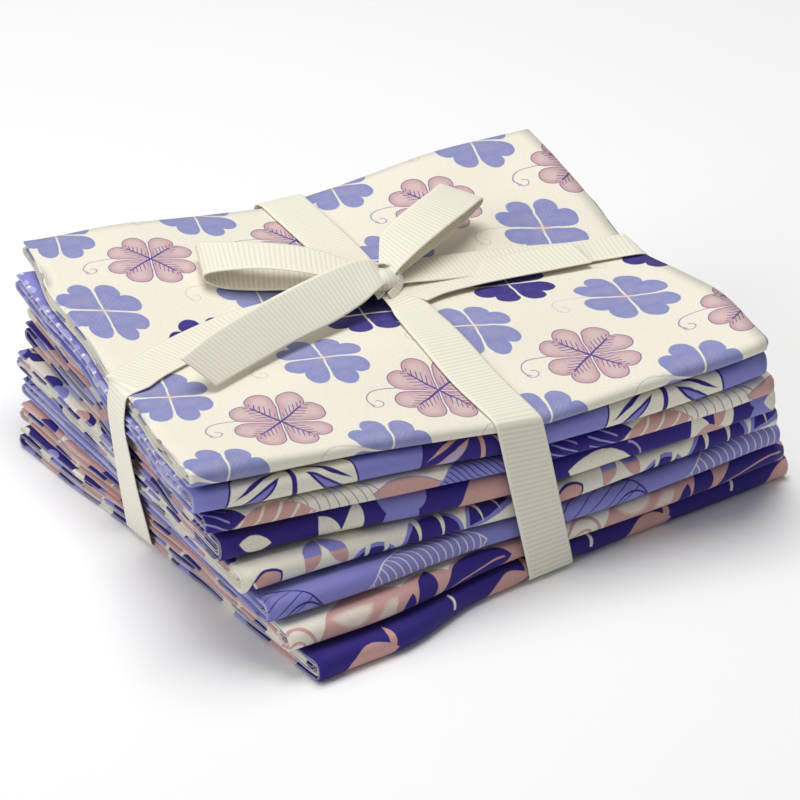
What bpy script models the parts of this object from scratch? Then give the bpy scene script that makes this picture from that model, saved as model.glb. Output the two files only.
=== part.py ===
"""Fat quarter bundle: eight folded cotton quarters, stacked and tied both ways with one ribbon.

Units are metres and +Z is up. The origin is on the floor under the middle of the bundle,
+X runs along the long folds and -Y is the side with the round front folds.

Each quarter is one sheet, folded in three from front and back: its outer layer wraps the front,
the inner layer ends inside that wrap, and the top layer ends free at the back. The ribbon
passes under and over the stack both ways and is knotted into a bow on top.
"""
import math
from collections import namedtuple

import bmesh
import bpy
from mathutils import Vector

# Folded size of a quarter, and how thick one lies at the loose corners of the stack
FOLD_LENGTH = 0.180
FOLD_DEPTH = 0.154
QUARTER_PITCH = 0.0078
LAYERS = 3
LAYER_GAP = 0.00048
QUARTER_GAP = 0.00062

# The ribbon presses the stack along two valleys that cross near its middle
PRESSED_SHARE = 0.86
PRESS_X = 0.001
PRESS_Y = 0.0
PRESS_SPREAD_X = 0.060
PRESS_SPREAD_Y = 0.056

# Softening of the short ends, and the slow wave that makes folds and ends uneven
END_ROUND = 0.0007
END_THINNING = 0.5
FRONT_WAVE = 0.0007
END_WAVE = 0.0009

# Grosgrain ribbon and the room it keeps to the cloth
RIBBON_WIDTH = 0.015
RIBBON_THICK = 0.001
RIBBON_GAP = 0.0006
RIBBON_FLOOR_GAP = 0.0001
STRIP_STEP = 0.00005
GROOVE_HEIGHT = 0.0015
GROOVE_HALF_FLAT = 0.0085
GROOVE_HALF_WIDTH = 0.013
GROOVE_A = -0.001
GROOVE_B = 0.005

# Where the ribbon crosses the edges of the top quarter
CROSS_FRONT_X = -0.002
CROSS_BACK_X = 0.004
LONG_LEFT_Y = -0.004
LONG_RIGHT_Y = -0.002
FRONT_BEND = 0.0036
END_BEND = 0.0016

# The twisted stack was laid out about its own middle, and is moved to the middle of its box
TO_BOX_MIDDLE = Vector((-0.00119, 0.00002, 0.0))

KNOT = Vector((0.001, 0.0055, 0.0583))
KNOT_SIZE = Vector((0.0068, 0.0062, 0.0044))

# From the bottom of the stack to its top. Turn is in degrees, lengths are in metres.
Quarter = namedtuple("Quarter", "name turn shift_x shift_y more_length more_depth wave color")
QUARTERS = [
    Quarter("quarter_8_tulip", 7.3, 0.0027, -0.0004, -0.0005, 0.0045, 0.4, (0.045, 0.028, 0.23)),
    Quarter("quarter_7_leaf", 4.7, 0.0017, -0.0006, -0.0004, 0.0025, 1.7, (0.62, 0.40, 0.38)),
    Quarter("quarter_6_lines", 2.6, 0.0014, -0.0004, 0.0, 0.0005, 2.9, (0.20, 0.19, 0.58)),
    Quarter("quarter_5_garden", 0.8, 0.0, 0.0010, 0.0010, 0.0, 4.3, (0.78, 0.74, 0.66)),
    Quarter("quarter_4_flower", -2.1, 0.0004, 0.0007, 0.0005, -0.0025, 5.1, (0.045, 0.028, 0.23)),
    Quarter("quarter_3_feather", -3.9, -0.0008, -0.0015, 0.0003, -0.0040, 0.9, (0.62, 0.40, 0.38)),
    Quarter("quarter_2_fan", -4.5, -0.0029, -0.0001, 0.0010, -0.0025, 2.2, (0.26, 0.26, 0.64)),
    Quarter("quarter_1_clover", -5.1, -0.0030, 0.0022, -0.0015, 0.0010, 3.6, (0.84, 0.80, 0.68)),
]
RIBBON_COLOR = (0.86, 0.82, 0.70)

# Bow strips: each row is the middle of the ribbon and the direction of its width
Strip = namedtuple("Strip", "x y z wide_x wide_y wide_z")
LEFT_LOOP = [
    Strip(-0.001, 0.007, 0.0600, -0.42, -0.85, -0.32),
    Strip(-0.016, 0.016, 0.0640, -0.42, -0.80, -0.42),
    Strip(-0.033, 0.026, 0.0640, -0.40, -0.76, -0.50),
    Strip(-0.046, 0.033, 0.0612, -0.40, -0.76, -0.50),
    Strip(-0.0490, 0.0345, 0.0588, -0.42, -0.80, -0.42),
    Strip(-0.0455, 0.0315, 0.0570, -0.48, -0.85, -0.18),
    Strip(-0.030, 0.022, 0.0560, -0.52, -0.85, -0.06),
    Strip(-0.014, 0.013, 0.0562, -0.50, -0.85, -0.10),
    Strip(-0.001, 0.006, 0.0575, -0.42, -0.85, -0.20),
]
RIGHT_LOOP = [
    Strip(0.003, 0.008, 0.0605, 0.50, -0.80, -0.30),
    Strip(0.015, 0.017, 0.0650, 0.56, -0.76, -0.32),
    Strip(0.030, 0.027, 0.0675, 0.60, -0.73, -0.33),
    Strip(0.042, 0.035, 0.0672, 0.60, -0.73, -0.33),
    Strip(0.0455, 0.0370, 0.0650, 0.60, -0.73, -0.33),
    Strip(0.0415, 0.0335, 0.0628, 0.60, -0.75, -0.28),
    Strip(0.029, 0.0245, 0.0603, 0.60, -0.77, -0.20),
    Strip(0.015, 0.015, 0.0588, 0.56, -0.80, -0.16),
    Strip(0.003, 0.007, 0.0580, 0.50, -0.84, -0.18),
]
FRONT_TAIL = [
    Strip(-0.001, 0.005, 0.0600, 0.10, -0.80, -0.60),
    Strip(-0.018, 0.002, 0.0618, 0.12, -0.72, -0.68),
    Strip(-0.036, -0.002, 0.0616, 0.14, -0.67, -0.72),
    Strip(-0.054, -0.006, 0.0612, 0.14, -0.66, -0.73),
    Strip(-0.0715, -0.0095, 0.0608, 0.14, -0.66, -0.73),
]
RIGHT_TAIL = [
    Strip(0.003, 0.005, 0.0580, 0.06, -0.96, -0.20),
    Strip(0.020, 0.0035, 0.0568, 0.08, -0.98, -0.10),
    Strip(0.039, 0.0018, 0.0560, 0.08, -0.99, -0.03),
    Strip(0.057, 0.0000, 0.0557, 0.08, -0.99, 0.0),
]


def smooth_step(value):
    value = min(1.0, max(0.0, value))
    return value * value * (3.0 - 2.0 * value)


def to_stack(quarter, a, b):
    """Place of a quarter's own point (a along it, b across it) in the stack."""
    turn = math.radians(quarter.turn)
    x = quarter.shift_x + a * math.cos(turn) - b * math.sin(turn)
    y = quarter.shift_y + a * math.sin(turn) + b * math.cos(turn)
    return x, y


def pitch_at(x, y):
    """Thickness that one quarter takes up at a place in the stack."""
    along = 1.0 - math.exp(-((x - PRESS_X) / PRESS_SPREAD_X) ** 2)
    across = 1.0 - math.exp(-((y - PRESS_Y) / PRESS_SPREAD_Y) ** 2)
    return QUARTER_PITCH * (PRESSED_SHARE + (1.0 - PRESSED_SHARE) * along * across)


def groove_at(a, b):
    """Height of the ribbon's crossed grooves under the bottom quarter."""
    ramp = GROOVE_HALF_WIDTH - GROOVE_HALF_FLAT
    in_cross = smooth_step((GROOVE_HALF_WIDTH - abs(a - GROOVE_A)) / ramp)
    in_long = smooth_step((GROOVE_HALF_WIDTH - abs(b - GROOVE_B)) / ramp)
    return GROOVE_HEIGHT * max(in_cross, in_long)


def half_length(quarter):
    return (FOLD_LENGTH + quarter.more_length) / 2


def half_depth(quarter):
    return (FOLD_DEPTH + quarter.more_depth) / 2


def edge_of(quarter, side, at):
    """Place of a quarter's front, back, left or right edge, at a given x or y."""
    turn = math.radians(quarter.turn)
    if side in ("front", "back"):
        b = half_depth(quarter) * (1 if side == "back" else -1)
        a = (at - quarter.shift_x + b * math.sin(turn)) / math.cos(turn)
        return to_stack(quarter, a, b)[1]
    a = half_length(quarter) * (1 if side == "right" else -1)
    b = (at - quarter.shift_y - a * math.sin(turn)) / math.cos(turn)
    return to_stack(quarter, a, b)[0]


def folded_section(quarter, inner_stations):
    """Centre line of the folded sheet as (b, height, normal b, normal height)."""
    layer = (QUARTER_PITCH - QUARTER_GAP - (LAYERS - 1) * LAYER_GAP) / LAYERS
    low = QUARTER_GAP / 2 + layer / 2
    middle = low + layer + LAYER_GAP
    high = middle + layer + LAYER_GAP
    reach = half_depth(quarter)
    front_radius = (high - low) / 2
    back_radius = (middle - low) / 2
    front = -reach + front_radius + layer / 2
    back = reach - back_radius - layer / 2
    free_back = reach - layer
    free_front = front + LAYER_GAP
    line = [(free_back, high, 0.0, 1.0)]
    line += [(b, high, 0.0, 1.0) for b in reversed(inner_stations)]
    front_steps = 6
    for step in range(front_steps + 1):
        angle = math.pi / 2 + math.pi * step / front_steps
        nb, nh = math.cos(angle), math.sin(angle)
        line.append((front + front_radius * nb, (low + high) / 2 + front_radius * nh, nb, nh))
    line += [(b, low, 0.0, -1.0) for b in inner_stations]
    back_steps = 4
    for step in range(back_steps + 1):
        angle = -math.pi / 2 + math.pi * step / back_steps
        nb, nh = math.cos(angle), math.sin(angle)
        line.append((back + back_radius * nb, (low + middle) / 2 + back_radius * nh, nb, nh))
    line += [(b, middle, 0.0, 1.0) for b in reversed(inner_stations)]
    line.append((free_front, middle, 0.0, 1.0))
    return line, layer


def spread_stations(low, high, count, extra=()):
    """Evenly spread places between two ends, with the grooves' edges added where they are."""
    places = [low + (high - low) * step / count for step in range(1, count)]
    clear = (high - low) / count / 3
    places = [place for place in places if all(abs(place - more) > clear for more in extra)]
    return sorted(places + list(extra))


def groove_edges(middle):
    return [middle + side * edge for side in (-1, 1) for edge in (GROOVE_HALF_FLAT, GROOVE_HALF_WIDTH)]


def make_quarter(index, quarter):
    """One folded quarter, lofted from end to end and bent to the levels of the stack."""
    grooved = index == 0
    fine = index >= len(QUARTERS) // 2
    reach_a, reach_b = half_length(quarter), half_depth(quarter)
    across = spread_stations(-reach_b, reach_b, 8 if fine else 6, groove_edges(GROOVE_B) if grooved else ())
    along = spread_stations(-reach_a, reach_a, 10 if fine else 8, groove_edges(GROOVE_A) if grooved else ())
    line, layer = folded_section(quarter, across)
    stations = [(-reach_a, END_THINNING), (-reach_a + END_ROUND, 1.0)]
    stations += [(a, 1.0) for a in along]
    stations += [(reach_a - END_ROUND, 1.0), (reach_a, END_THINNING)]
    mesh = bmesh.new()
    rings = []
    for a, thickness in stations:
        outer, inner = [], []
        for place, (b, height, nb, nh) in enumerate(line):
            travel = 2 * math.pi * place / len(line)
            ragged = END_WAVE * math.sin(2.0 * travel + quarter.wave) * (a / reach_a) ** 8
            wander = FRONT_WAVE * math.sin(a * 2 * math.pi / 0.11 + quarter.wave) * smooth_step(-b / reach_b)
            for side, ring in ((1, outer), (-1, inner)):
                half = side * thickness * layer / 2
                own_a = a - abs(ragged) * (1 if a > 0 else -1)
                own_b = b + half * nb + wander
                x, y = to_stack(quarter, own_a, own_b)
                pitch = pitch_at(x, y)
                below = QUARTER_GAP / 2 if grooved else 0.0
                share = (height + half * nh - below) / (QUARTER_PITCH - below)
                floor = groove_at(a, own_b) if grooved else 0.0
                z = index * pitch + floor + share * (pitch - floor)
                ring.append(mesh.verts.new((x, y, z)))
        rings.append(outer + inner[::-1])
    close_loft(mesh, rings, capped=True)
    return finish_mesh(quarter.name, mesh, quarter.color)


def close_loft(mesh, rings, capped):
    """Skin a row of rings. The ends are capped, or joined where the row runs round."""
    count = len(rings[0])
    pairs = zip(rings, rings[1:]) if capped else zip(rings, rings[1:] + rings[:1])
    for ring, following in pairs:
        for corner in range(count):
            turn = (corner + 1) % count
            mesh.faces.new((ring[corner], ring[turn], following[turn], following[corner]))
    if capped:
        half = count // 2
        for ring in (rings[0], rings[-1]):
            for corner in range(half - 1):
                across = count - 1 - corner
                mesh.faces.new((ring[corner], ring[corner + 1], ring[across - 1], ring[across]))
    bmesh.ops.triangulate(mesh, faces=mesh.faces[:])
    bmesh.ops.recalc_face_normals(mesh, faces=mesh.faces[:])


def cloth_material(name, color):
    material = bpy.data.materials.new(name)
    material.use_nodes = True
    shader = material.node_tree.nodes["Principled BSDF"]
    shader.inputs["Base Color"].default_value = (*color, 1.0)
    shader.inputs["Roughness"].default_value = 0.85
    shader.inputs["Metallic"].default_value = 0.0
    return material


def finish_mesh(name, mesh, color):
    bmesh.ops.translate(mesh, vec=TO_BOX_MIDDLE, verts=mesh.verts[:])
    data = bpy.data.meshes.new(name)
    mesh.to_mesh(data)
    mesh.free()
    data.shade_smooth()
    data.set_sharp_from_angle(angle=math.radians(50))
    data.materials.append(cloth_material(name + "_cotton", color))
    piece = bpy.data.objects.new(name, data)
    bpy.context.scene.collection.objects.link(piece)
    return piece


def curve_through(rows, steps, closed):
    """Points on a smooth curve through the rows, each row a tuple of numbers."""
    count = len(rows)
    found = []
    last = count if closed else count - 1
    for place in range(last):
        if closed:
            picked = [rows[(place + shift) % count] for shift in (-1, 0, 1, 2)]
        else:
            picked = [rows[min(max(place + shift, 0), count - 1)] for shift in (-1, 0, 1, 2)]
        for step in range(steps):
            t = step / steps
            found.append(tuple(
                0.5 * (2 * p1 + (p2 - p0) * t + (2 * p0 - 5 * p1 + 4 * p2 - p3) * t * t
                       + (3 * p1 - p0 - 3 * p2 + p3) * t ** 3)
                for p0, p1, p2, p3 in zip(*picked)))
    if not closed:
        found.append(tuple(rows[-1]))
    return found


def sweep_ribbon(name, rows, closed):
    """Flat strip along rows of (x, y, z, width direction), as one closed body.

    A closed band crosses the edges of the stack aslant, so its width stays in the direction given
    and is as much longer as the slant asks. A strip of the bow is cut square to its travel.
    """
    points = [Vector(row[:3]) for row in rows]
    count = len(points)
    mesh = bmesh.new()
    rings = []
    for place, row in enumerate(rows):
        if closed:
            ahead, behind = points[(place + 1) % count], points[place - 1]
        else:
            ahead, behind = points[min(place + 1, count - 1)], points[max(place - 1, 0)]
        travel = (ahead - behind).normalized()
        wide = Vector(row[3:6])
        square = wide - travel * wide.dot(travel)
        wide = (wide / square.length if closed else square.normalized()) * RIBBON_WIDTH / 2
        thick = travel.cross(wide).normalized() * RIBBON_THICK / 2
        corners = (wide + thick, wide - thick, -wide - thick, -wide + thick)
        rings.append([mesh.verts.new(points[place] + corner) for corner in corners])
    close_loft(mesh, rings, capped=not closed)
    return finish_mesh(name, mesh, RIBBON_COLOR)


def side_line(side, top_at, bottom_at):
    """Outer reach at top and bottom of a straight side that clears every quarter."""
    outward = 1 if side in ("back", "right") else -1
    count = len(QUARTERS)
    reaches = []
    for index, quarter in enumerate(QUARTERS):
        share = (index + 0.5) / count
        at = bottom_at + (top_at - bottom_at) * share
        reaches.append((share, outward * edge_of(quarter, side, at)))
    low, high = reaches[0][1], reaches[-1][1]
    excess = max(reach - (low + (high - low) * share) for share, reach in reaches)
    margin = excess + FRONT_WAVE * (side == "front") + RIBBON_GAP + RIBBON_THICK / 2
    return outward * (high + margin), outward * (low + margin)


def outward_of(quarter, along_x, sign):
    """Level direction out of a quarter's left or right end, or its front or back fold."""
    turn = math.radians(quarter.turn)
    return sign * (Vector((math.cos(turn), math.sin(turn), 0.0)) if along_x
                   else Vector((-math.sin(turn), math.cos(turn), 0.0)))


def band_corner(edge, height, outward, bend, angles):
    """Points round a bend whose outermost place is at the edge, for angles above the floor."""
    centre = Vector((edge[0], edge[1], height)) - outward * bend
    found = []
    for angle in angles:
        tilt = math.radians(angle)
        found.append(centre + bend * (outward * math.cos(tilt) + Vector((0.0, 0.0, math.sin(tilt)))))
    return found


def make_band(name, along_x):
    """The ribbon's full turn round the stack, along X or across it."""
    bottom, top = QUARTERS[0], QUARTERS[-1]
    if along_x:
        sides, bend, extra = ("left", "right"), END_BEND, 0.0
        upper_at = (LONG_LEFT_Y, LONG_RIGHT_Y)
        lower_at = [to_stack(bottom, sign * half_length(bottom), GROOVE_B)[1] for sign in (-1, 1)]
    else:
        sides, bend, extra = ("front", "back"), FRONT_BEND, STRIP_STEP
        upper_at = (CROSS_FRONT_X, CROSS_BACK_X)
        lower_at = [to_stack(bottom, GROOVE_A, sign * half_depth(bottom))[0] for sign in (-1, 1)]
    lift = RIBBON_GAP + RIBBON_THICK / 2 + extra
    floor = RIBBON_FLOOR_GAP + RIBBON_THICK / 2 + extra
    path = []
    for sign, side, upper, lower in zip((-1, 1), sides, upper_at, lower_at):
        reach_top, reach_bottom = side_line(side, upper, lower)
        edge_top = (reach_top, upper) if along_x else (upper, reach_top)
        edge_low = (reach_bottom, lower) if along_x else (lower, reach_bottom)
        ceiling = len(QUARTERS) * pitch_at(*edge_top) + lift
        arc_top = band_corner(edge_top, ceiling - bend, outward_of(top, along_x, sign), bend, (90, 45, 0))
        arc_low = band_corner(edge_low, floor + bend, outward_of(bottom, along_x, sign), bend, (0, -45, -90))
        run = [(*point, top.turn) for point in arc_top]
        run.append((*arc_top[-1].lerp(arc_low[0], 0.5), (top.turn + bottom.turn) / 2))
        run += [(*point, bottom.turn) for point in arc_low]
        path += run[::-1] if sign < 0 else run
    # The path now runs up one side, over the top, down the other side and back underneath
    over = len(path) // 2
    rise_from, rise_to = Vector(path[over - 1][:3]), Vector(path[over][:3])
    crossing = Vector((KNOT.x, KNOT.y, 0.0))
    ceiling = len(QUARTERS) * pitch_at(KNOT.x, KNOT.y) + lift
    middle = []
    for share in (0.25, 0.5, 0.75):
        straight = rise_from.lerp(rise_to, share)
        pull = 1.0 - abs(share - 0.5) * 2
        place = straight.lerp(crossing, pull)
        place.z = max(len(QUARTERS) * pitch_at(place.x, place.y) + lift, ceiling)
        middle.append((*place, top.turn))
    path = path[:over] + middle + path[over:]
    rows = []
    for x, y, z, turn in path:
        across = math.radians(turn)
        wide = (-math.sin(across), math.cos(across)) if along_x else (math.cos(across), math.sin(across))
        rows.append((x, y, z, *wide, 0.0))
    return sweep_ribbon(name, rows, closed=True)


def make_knot():
    """The knot as one rounded lump, drawn in round its waist."""
    mesh = bmesh.new()
    bmesh.ops.create_icosphere(mesh, subdivisions=2, radius=1.0)
    for vert in mesh.verts:
        waist = 1.0 - 0.12 * math.exp(-(vert.co.x / 0.35) ** 2)
        vert.co = Vector((vert.co.x * KNOT_SIZE.x, vert.co.y * KNOT_SIZE.y * waist,
                          vert.co.z * KNOT_SIZE.z * waist)) + KNOT
    return finish_mesh("knot", mesh, RIBBON_COLOR)


def join_ribbon(name, strips):
    """Fuse the bands, knot, loops and tails into the one ribbon that they are."""
    ribbon = strips[0]
    for strip in strips[1:]:
        union = ribbon.modifiers.new("join " + strip.name, "BOOLEAN")
        union.operation = "UNION"
        union.solver = "EXACT"
        union.object = strip
        bpy.context.view_layer.objects.active = ribbon
        bpy.ops.object.modifier_apply(modifier=union.name)
        bpy.data.objects.remove(strip, do_unlink=True)
    ribbon.name = name
    return ribbon


def make_ribbon():
    strips = [make_band("long_band", along_x=True), make_band("cross_band", along_x=False), make_knot()]
    for name, rows in (("left_loop", LEFT_LOOP), ("right_loop", RIGHT_LOOP),
                       ("front_tail", FRONT_TAIL), ("right_tail", RIGHT_TAIL)):
        strips.append(sweep_ribbon(name, curve_through([tuple(row) for row in rows], 2, closed=False), closed=False))
    return join_ribbon("ribbon", strips)


for old in list(bpy.data.objects):
    bpy.data.objects.remove(old, do_unlink=True)

for order, fabric in enumerate(QUARTERS):
    make_quarter(order, fabric)
make_ribbon()
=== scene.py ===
import math

import bmesh
import bpy
import numpy as np
from mathutils import Matrix, Vector


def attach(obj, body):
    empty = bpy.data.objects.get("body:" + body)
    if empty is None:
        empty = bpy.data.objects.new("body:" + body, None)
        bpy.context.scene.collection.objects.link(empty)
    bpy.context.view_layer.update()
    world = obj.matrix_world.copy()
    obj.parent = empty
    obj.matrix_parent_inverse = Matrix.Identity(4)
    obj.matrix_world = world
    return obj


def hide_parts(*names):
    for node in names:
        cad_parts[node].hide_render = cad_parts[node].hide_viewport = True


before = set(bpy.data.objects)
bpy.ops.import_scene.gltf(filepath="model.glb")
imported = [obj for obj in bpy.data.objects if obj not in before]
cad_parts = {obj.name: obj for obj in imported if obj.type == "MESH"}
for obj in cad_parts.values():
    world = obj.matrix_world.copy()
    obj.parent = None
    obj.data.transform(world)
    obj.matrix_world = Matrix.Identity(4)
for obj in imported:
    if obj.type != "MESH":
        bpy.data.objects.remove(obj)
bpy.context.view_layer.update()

# Floor, camera and light. The floor is a plain pale table. The camera stands where the photo was
# taken from: to the left of the front, looking down. Two soft lights hang over it,
# one overhead and one to the left.
FLOOR_SIZE = 6.0
# Shift from the stack's own middle to the middle of the solids' box
MODEL_SHIFT = Vector((-0.00119, 0.00002, 0.0))

bpy.ops.object.select_all(action="DESELECT")
bpy.ops.mesh.primitive_plane_add(size=FLOOR_SIZE, location=(0, 0, 0))
floor = bpy.context.object
floor.name = "table"
floor_paint = bpy.data.materials.new("table_white")
floor_paint.use_nodes = True
floor_shader = floor_paint.node_tree.nodes["Principled BSDF"]
floor_shader.inputs["Base Color"].default_value = (0.96, 0.96, 0.96, 1)
floor_shader.inputs["Roughness"].default_value = 0.9
floor.data.materials.append(floor_paint)

LENS_PIXELS = 3074.0
FRAME_PIXELS = 800.0
CAMERA_AROUND = math.radians(-28.95)
CAMERA_ABOVE = math.radians(29.15)
CAMERA_AWAY = 0.948
CENTRE_PIXEL = (391.2, 387.2)
LOOK_AT = Vector((0.0, 0.0, 0.027)) + MODEL_SHIFT

lens = bpy.data.cameras.new("photo_camera")
camera = bpy.data.objects.new("photo_camera", lens)
bpy.context.scene.collection.objects.link(camera)
back = Vector((math.sin(CAMERA_AROUND) * math.cos(CAMERA_ABOVE),
               -math.cos(CAMERA_AROUND) * math.cos(CAMERA_ABOVE), math.sin(CAMERA_ABOVE)))
side = Vector((math.cos(CAMERA_AROUND), math.sin(CAMERA_AROUND), 0.0))
facing = Matrix((side, back.cross(side), back)).transposed().to_4x4()
camera.matrix_world = Matrix.Translation(LOOK_AT + back * CAMERA_AWAY) @ facing
lens.sensor_width = 36.0
lens.lens = LENS_PIXELS / FRAME_PIXELS * lens.sensor_width
lens.shift_x = (FRAME_PIXELS / 2 - CENTRE_PIXEL[0]) / FRAME_PIXELS
lens.shift_y = (CENTRE_PIXEL[1] - FRAME_PIXELS / 2) / FRAME_PIXELS
lens.clip_start = 0.01
bpy.context.scene.camera = camera
bpy.context.scene.view_settings.view_transform = "Standard"


def soft_light(name, place, size, power, color):
    """A round lamp that points at the middle of the bundle."""
    lamp = bpy.data.lights.new(name, "AREA")
    lamp.shape = "DISK"
    lamp.size = size
    lamp.energy = power
    lamp.color = color
    stand = bpy.data.objects.new(name, lamp)
    bpy.context.scene.collection.objects.link(stand)
    stand.location = place
    stand.rotation_euler = (Vector((0, 0, 0.03)) - Vector(place)).to_track_quat("-Z", "Y").to_euler()


soft_light("key_light", (0.0, 0.20, 1.25), 0.9, 12.0, (1.0, 0.99, 0.97))
soft_light("left_fill", (-1.15, 0.1, 0.6), 0.9, 5.6, (0.97, 0.98, 1.0))
sky = bpy.data.worlds.new("studio")
sky.use_nodes = True
sky.node_tree.nodes["Background"].inputs["Color"].default_value = (0.95, 0.97, 1.0, 1)
sky.node_tree.nodes["Background"].inputs["Strength"].default_value = 0.26
bpy.context.scene.world = sky

# Cotton print. Every quarter is the same plain-woven cotton, printed on one face with flat inks.
# The ink shapes are drawn by maths, in mm along and across the cloth, as masks with soft edges.
# A last layer adds the thread grain, and the weave as bumps and as a little painted shade in the colour.
INKS = {"cream": (0.83, 0.79, 0.67), "lilac": (0.235, 0.235, 0.60), "pale_lilac": (0.42, 0.41, 0.74),
        "pink": (0.62, 0.36, 0.33), "violet": (0.030, 0.016, 0.200), "vein": (0.10, 0.05, 0.27),
        "mauve": (0.36, 0.34, 0.53), "white": (0.88, 0.86, 0.86), "grey_violet": (0.30, 0.25, 0.42),
        "rose": (0.585, 0.375, 0.395), "sky": (0.225, 0.255, 0.515)}


class Field:
    """A number that a material works out at each point, with ordinary arithmetic."""
    tree = None

    def __init__(self, socket):
        self.socket = socket

    @staticmethod
    def math(kind, *values):
        node = Field.tree.nodes.new("ShaderNodeMath")
        node.operation = kind
        for slot, value in zip(node.inputs, values):
            if isinstance(value, Field):
                Field.tree.links.new(value.socket, slot)
            else:
                slot.default_value = value
        return Field(node.outputs[0])

    def __add__(self, other):
        return Field.math("ADD", self, other)

    __radd__ = __add__

    def __sub__(self, other):
        return Field.math("SUBTRACT", self, other)

    def __rsub__(self, other):
        return Field.math("SUBTRACT", other, self)

    def __mul__(self, other):
        return Field.math("MULTIPLY", self, other)

    __rmul__ = __mul__

    def __truediv__(self, other):
        return Field.math("DIVIDE", self, other)

    def __abs__(self):
        return Field.math("ABSOLUTE", self)

    def __neg__(self):
        return Field.math("MULTIPLY", self, -1.0)

    def clipped(self):
        clamp = Field.tree.nodes.new("ShaderNodeClamp")
        Field.tree.links.new(self.socket, clamp.inputs[0])
        return Field(clamp.outputs[0])


def lower_of(first, second):
    return Field.math("MINIMUM", first, second)


def higher_of(first, second):
    return Field.math("MAXIMUM", first, second)


def hypot(x, y):
    return Field.math("SQRT", x * x + y * y)


def turned(x, y, degrees):
    """The same place on axes that are turned by some degrees."""
    c, s = math.cos(math.radians(degrees)), math.sin(math.radians(degrees))
    return x * c + y * s, y * c - x * s


def repeat(value, pitch):
    """Distance from the nearest multiple of the pitch, from minus half a pitch to plus half."""
    return Field.math("FLOORED_MODULO", value + pitch / 2, pitch) - pitch / 2


def inside(distance, soft=0.22):
    """1 inside a shape and 0 outside it, from the distance to its edge in mm."""
    return Field.math("MULTIPLY_ADD", distance, -1.0 / soft, 0.5).clipped()


def noise(u, v, size, seed, detail=2.0):
    """Smooth cloudy value from 0 to 1 over the cloth."""
    spot = Field.tree.nodes.new("ShaderNodeCombineXYZ")
    for slot, value in zip(spot.inputs, (u / size, v / size)):
        Field.tree.links.new(value.socket, slot)
    spot.inputs[2].default_value = seed
    cloud = Field.tree.nodes.new("ShaderNodeTexNoise")
    cloud.inputs["Scale"].default_value = 1.0
    cloud.inputs["Detail"].default_value = detail
    Field.tree.links.new(spot.outputs[0], cloud.inputs["Vector"])
    return Field(cloud.outputs[0])


# The print wanders a little from its drawn edges, as ink does on cloth
WANDER_SIZE = 7.0
WANDER = 1.1
THREAD_REPEAT = 0.74
UNPRINTED = (0.80, 0.77, 0.74, 1.0)


class Cloth:
    """One printed cotton: its inks are laid over each other, and then it becomes a material."""

    def __init__(self, name, ground):
        self.material = bpy.data.materials.new(name)
        self.material.use_nodes = True
        self.tree = Field.tree = self.material.node_tree
        place = self.tree.nodes.new("ShaderNodeUVMap")
        place.uv_map = "cloth"
        parts = self.tree.nodes.new("ShaderNodeSeparateXYZ")
        self.tree.links.new(place.outputs[0], parts.inputs[0])
        self.raw_u, self.raw_v = Field(parts.outputs[0]) * 1000.0, Field(parts.outputs[1]) * 1000.0
        self.u = self.raw_u + (noise(self.raw_u, self.raw_v, WANDER_SIZE, 1.0) - 0.5) * WANDER
        self.v = self.raw_v + (noise(self.raw_u, self.raw_v, WANDER_SIZE, 9.0) - 0.5) * WANDER
        self.colour = self.solid(ground)

    def solid(self, ink):
        node = self.tree.nodes.new("ShaderNodeRGB")
        node.outputs[0].default_value = (*INKS[ink], 1.0)
        return node.outputs[0]

    def lay(self, mask, ink):
        """Print one ink over what is there, where the mask is 1."""
        mix = self.tree.nodes.new("ShaderNodeMix")
        mix.data_type = "RGBA"
        self.tree.links.new(mask.socket, mix.inputs[0])
        self.tree.links.new(self.colour, mix.inputs[6])
        self.tree.links.new(self.solid(ink), mix.inputs[7])
        self.colour = mix.outputs[2]

    def spot(self, at, pitch, turn=0.0):
        """Coordinates round the nearest place of a repeat, turned by some degrees."""
        return turned(repeat(self.u - at[0], pitch[0]), repeat(self.v - at[1], pitch[1]), turn)

    def finish(self):
        """Add the thread grain, the weave's bumps and its painted shade, and make the shader."""
        u, v = self.raw_u, self.raw_v
        turn_a_mm = 2 * math.pi / THREAD_REPEAT
        weave_bumps_and_shade = Field.math("SINE", u * turn_a_mm) * Field.math("SINE", v * turn_a_mm)
        grain = noise(u * 0.5, v, 0.5, 3.0, 1.0)
        # The weave's crossings are painted a little lighter and darker here, as painted shade of the
        # weave's relief
        value = 0.90 + grain * 0.20 + weave_bumps_and_shade * 0.05
        hue = self.tree.nodes.new("ShaderNodeHueSaturation")
        self.tree.links.new(self.colour, hue.inputs["Color"])
        self.tree.links.new(value.socket, hue.inputs["Value"])
        fade = self.tree.nodes.new("ShaderNodeMix")
        fade.name = "fade"
        fade.data_type = "RGBA"
        fade.inputs[0].default_value = 0.0
        self.tree.links.new(hue.outputs[0], fade.inputs[6])
        fade.inputs[7].default_value = UNPRINTED
        shader = self.tree.nodes["Principled BSDF"]
        self.tree.links.new(fade.outputs[2], shader.inputs["Base Color"])
        shader.inputs["Roughness"].default_value = 0.85
        shader.inputs["Specular IOR Level"].default_value = 0.25
        shader.inputs["Sheen Weight"].default_value = 0.12
        shader.inputs["Sheen Roughness"].default_value = 0.5
        bump = self.tree.nodes.new("ShaderNodeBump")
        bump.inputs["Strength"].default_value = 0.35
        bump.inputs["Distance"].default_value = 0.00006
        self.tree.links.new((weave_bumps_and_shade * 0.5 + grain * 1.4).socket, bump.inputs["Height"])
        self.tree.links.new(bump.outputs[0], shader.inputs["Normal"])
        return self.material


def leaf(x, y, long, wide, bend=0.0):
    """Distance to a pointed leaf that lies along x."""
    half, waist = long / 2, wide / 2
    radius = (half * half + waist * waist) / (2 * waist)
    if bend:
        y = y - x * x * bend
    return hypot(x, abs(y) + (radius - waist)) - radius


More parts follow.
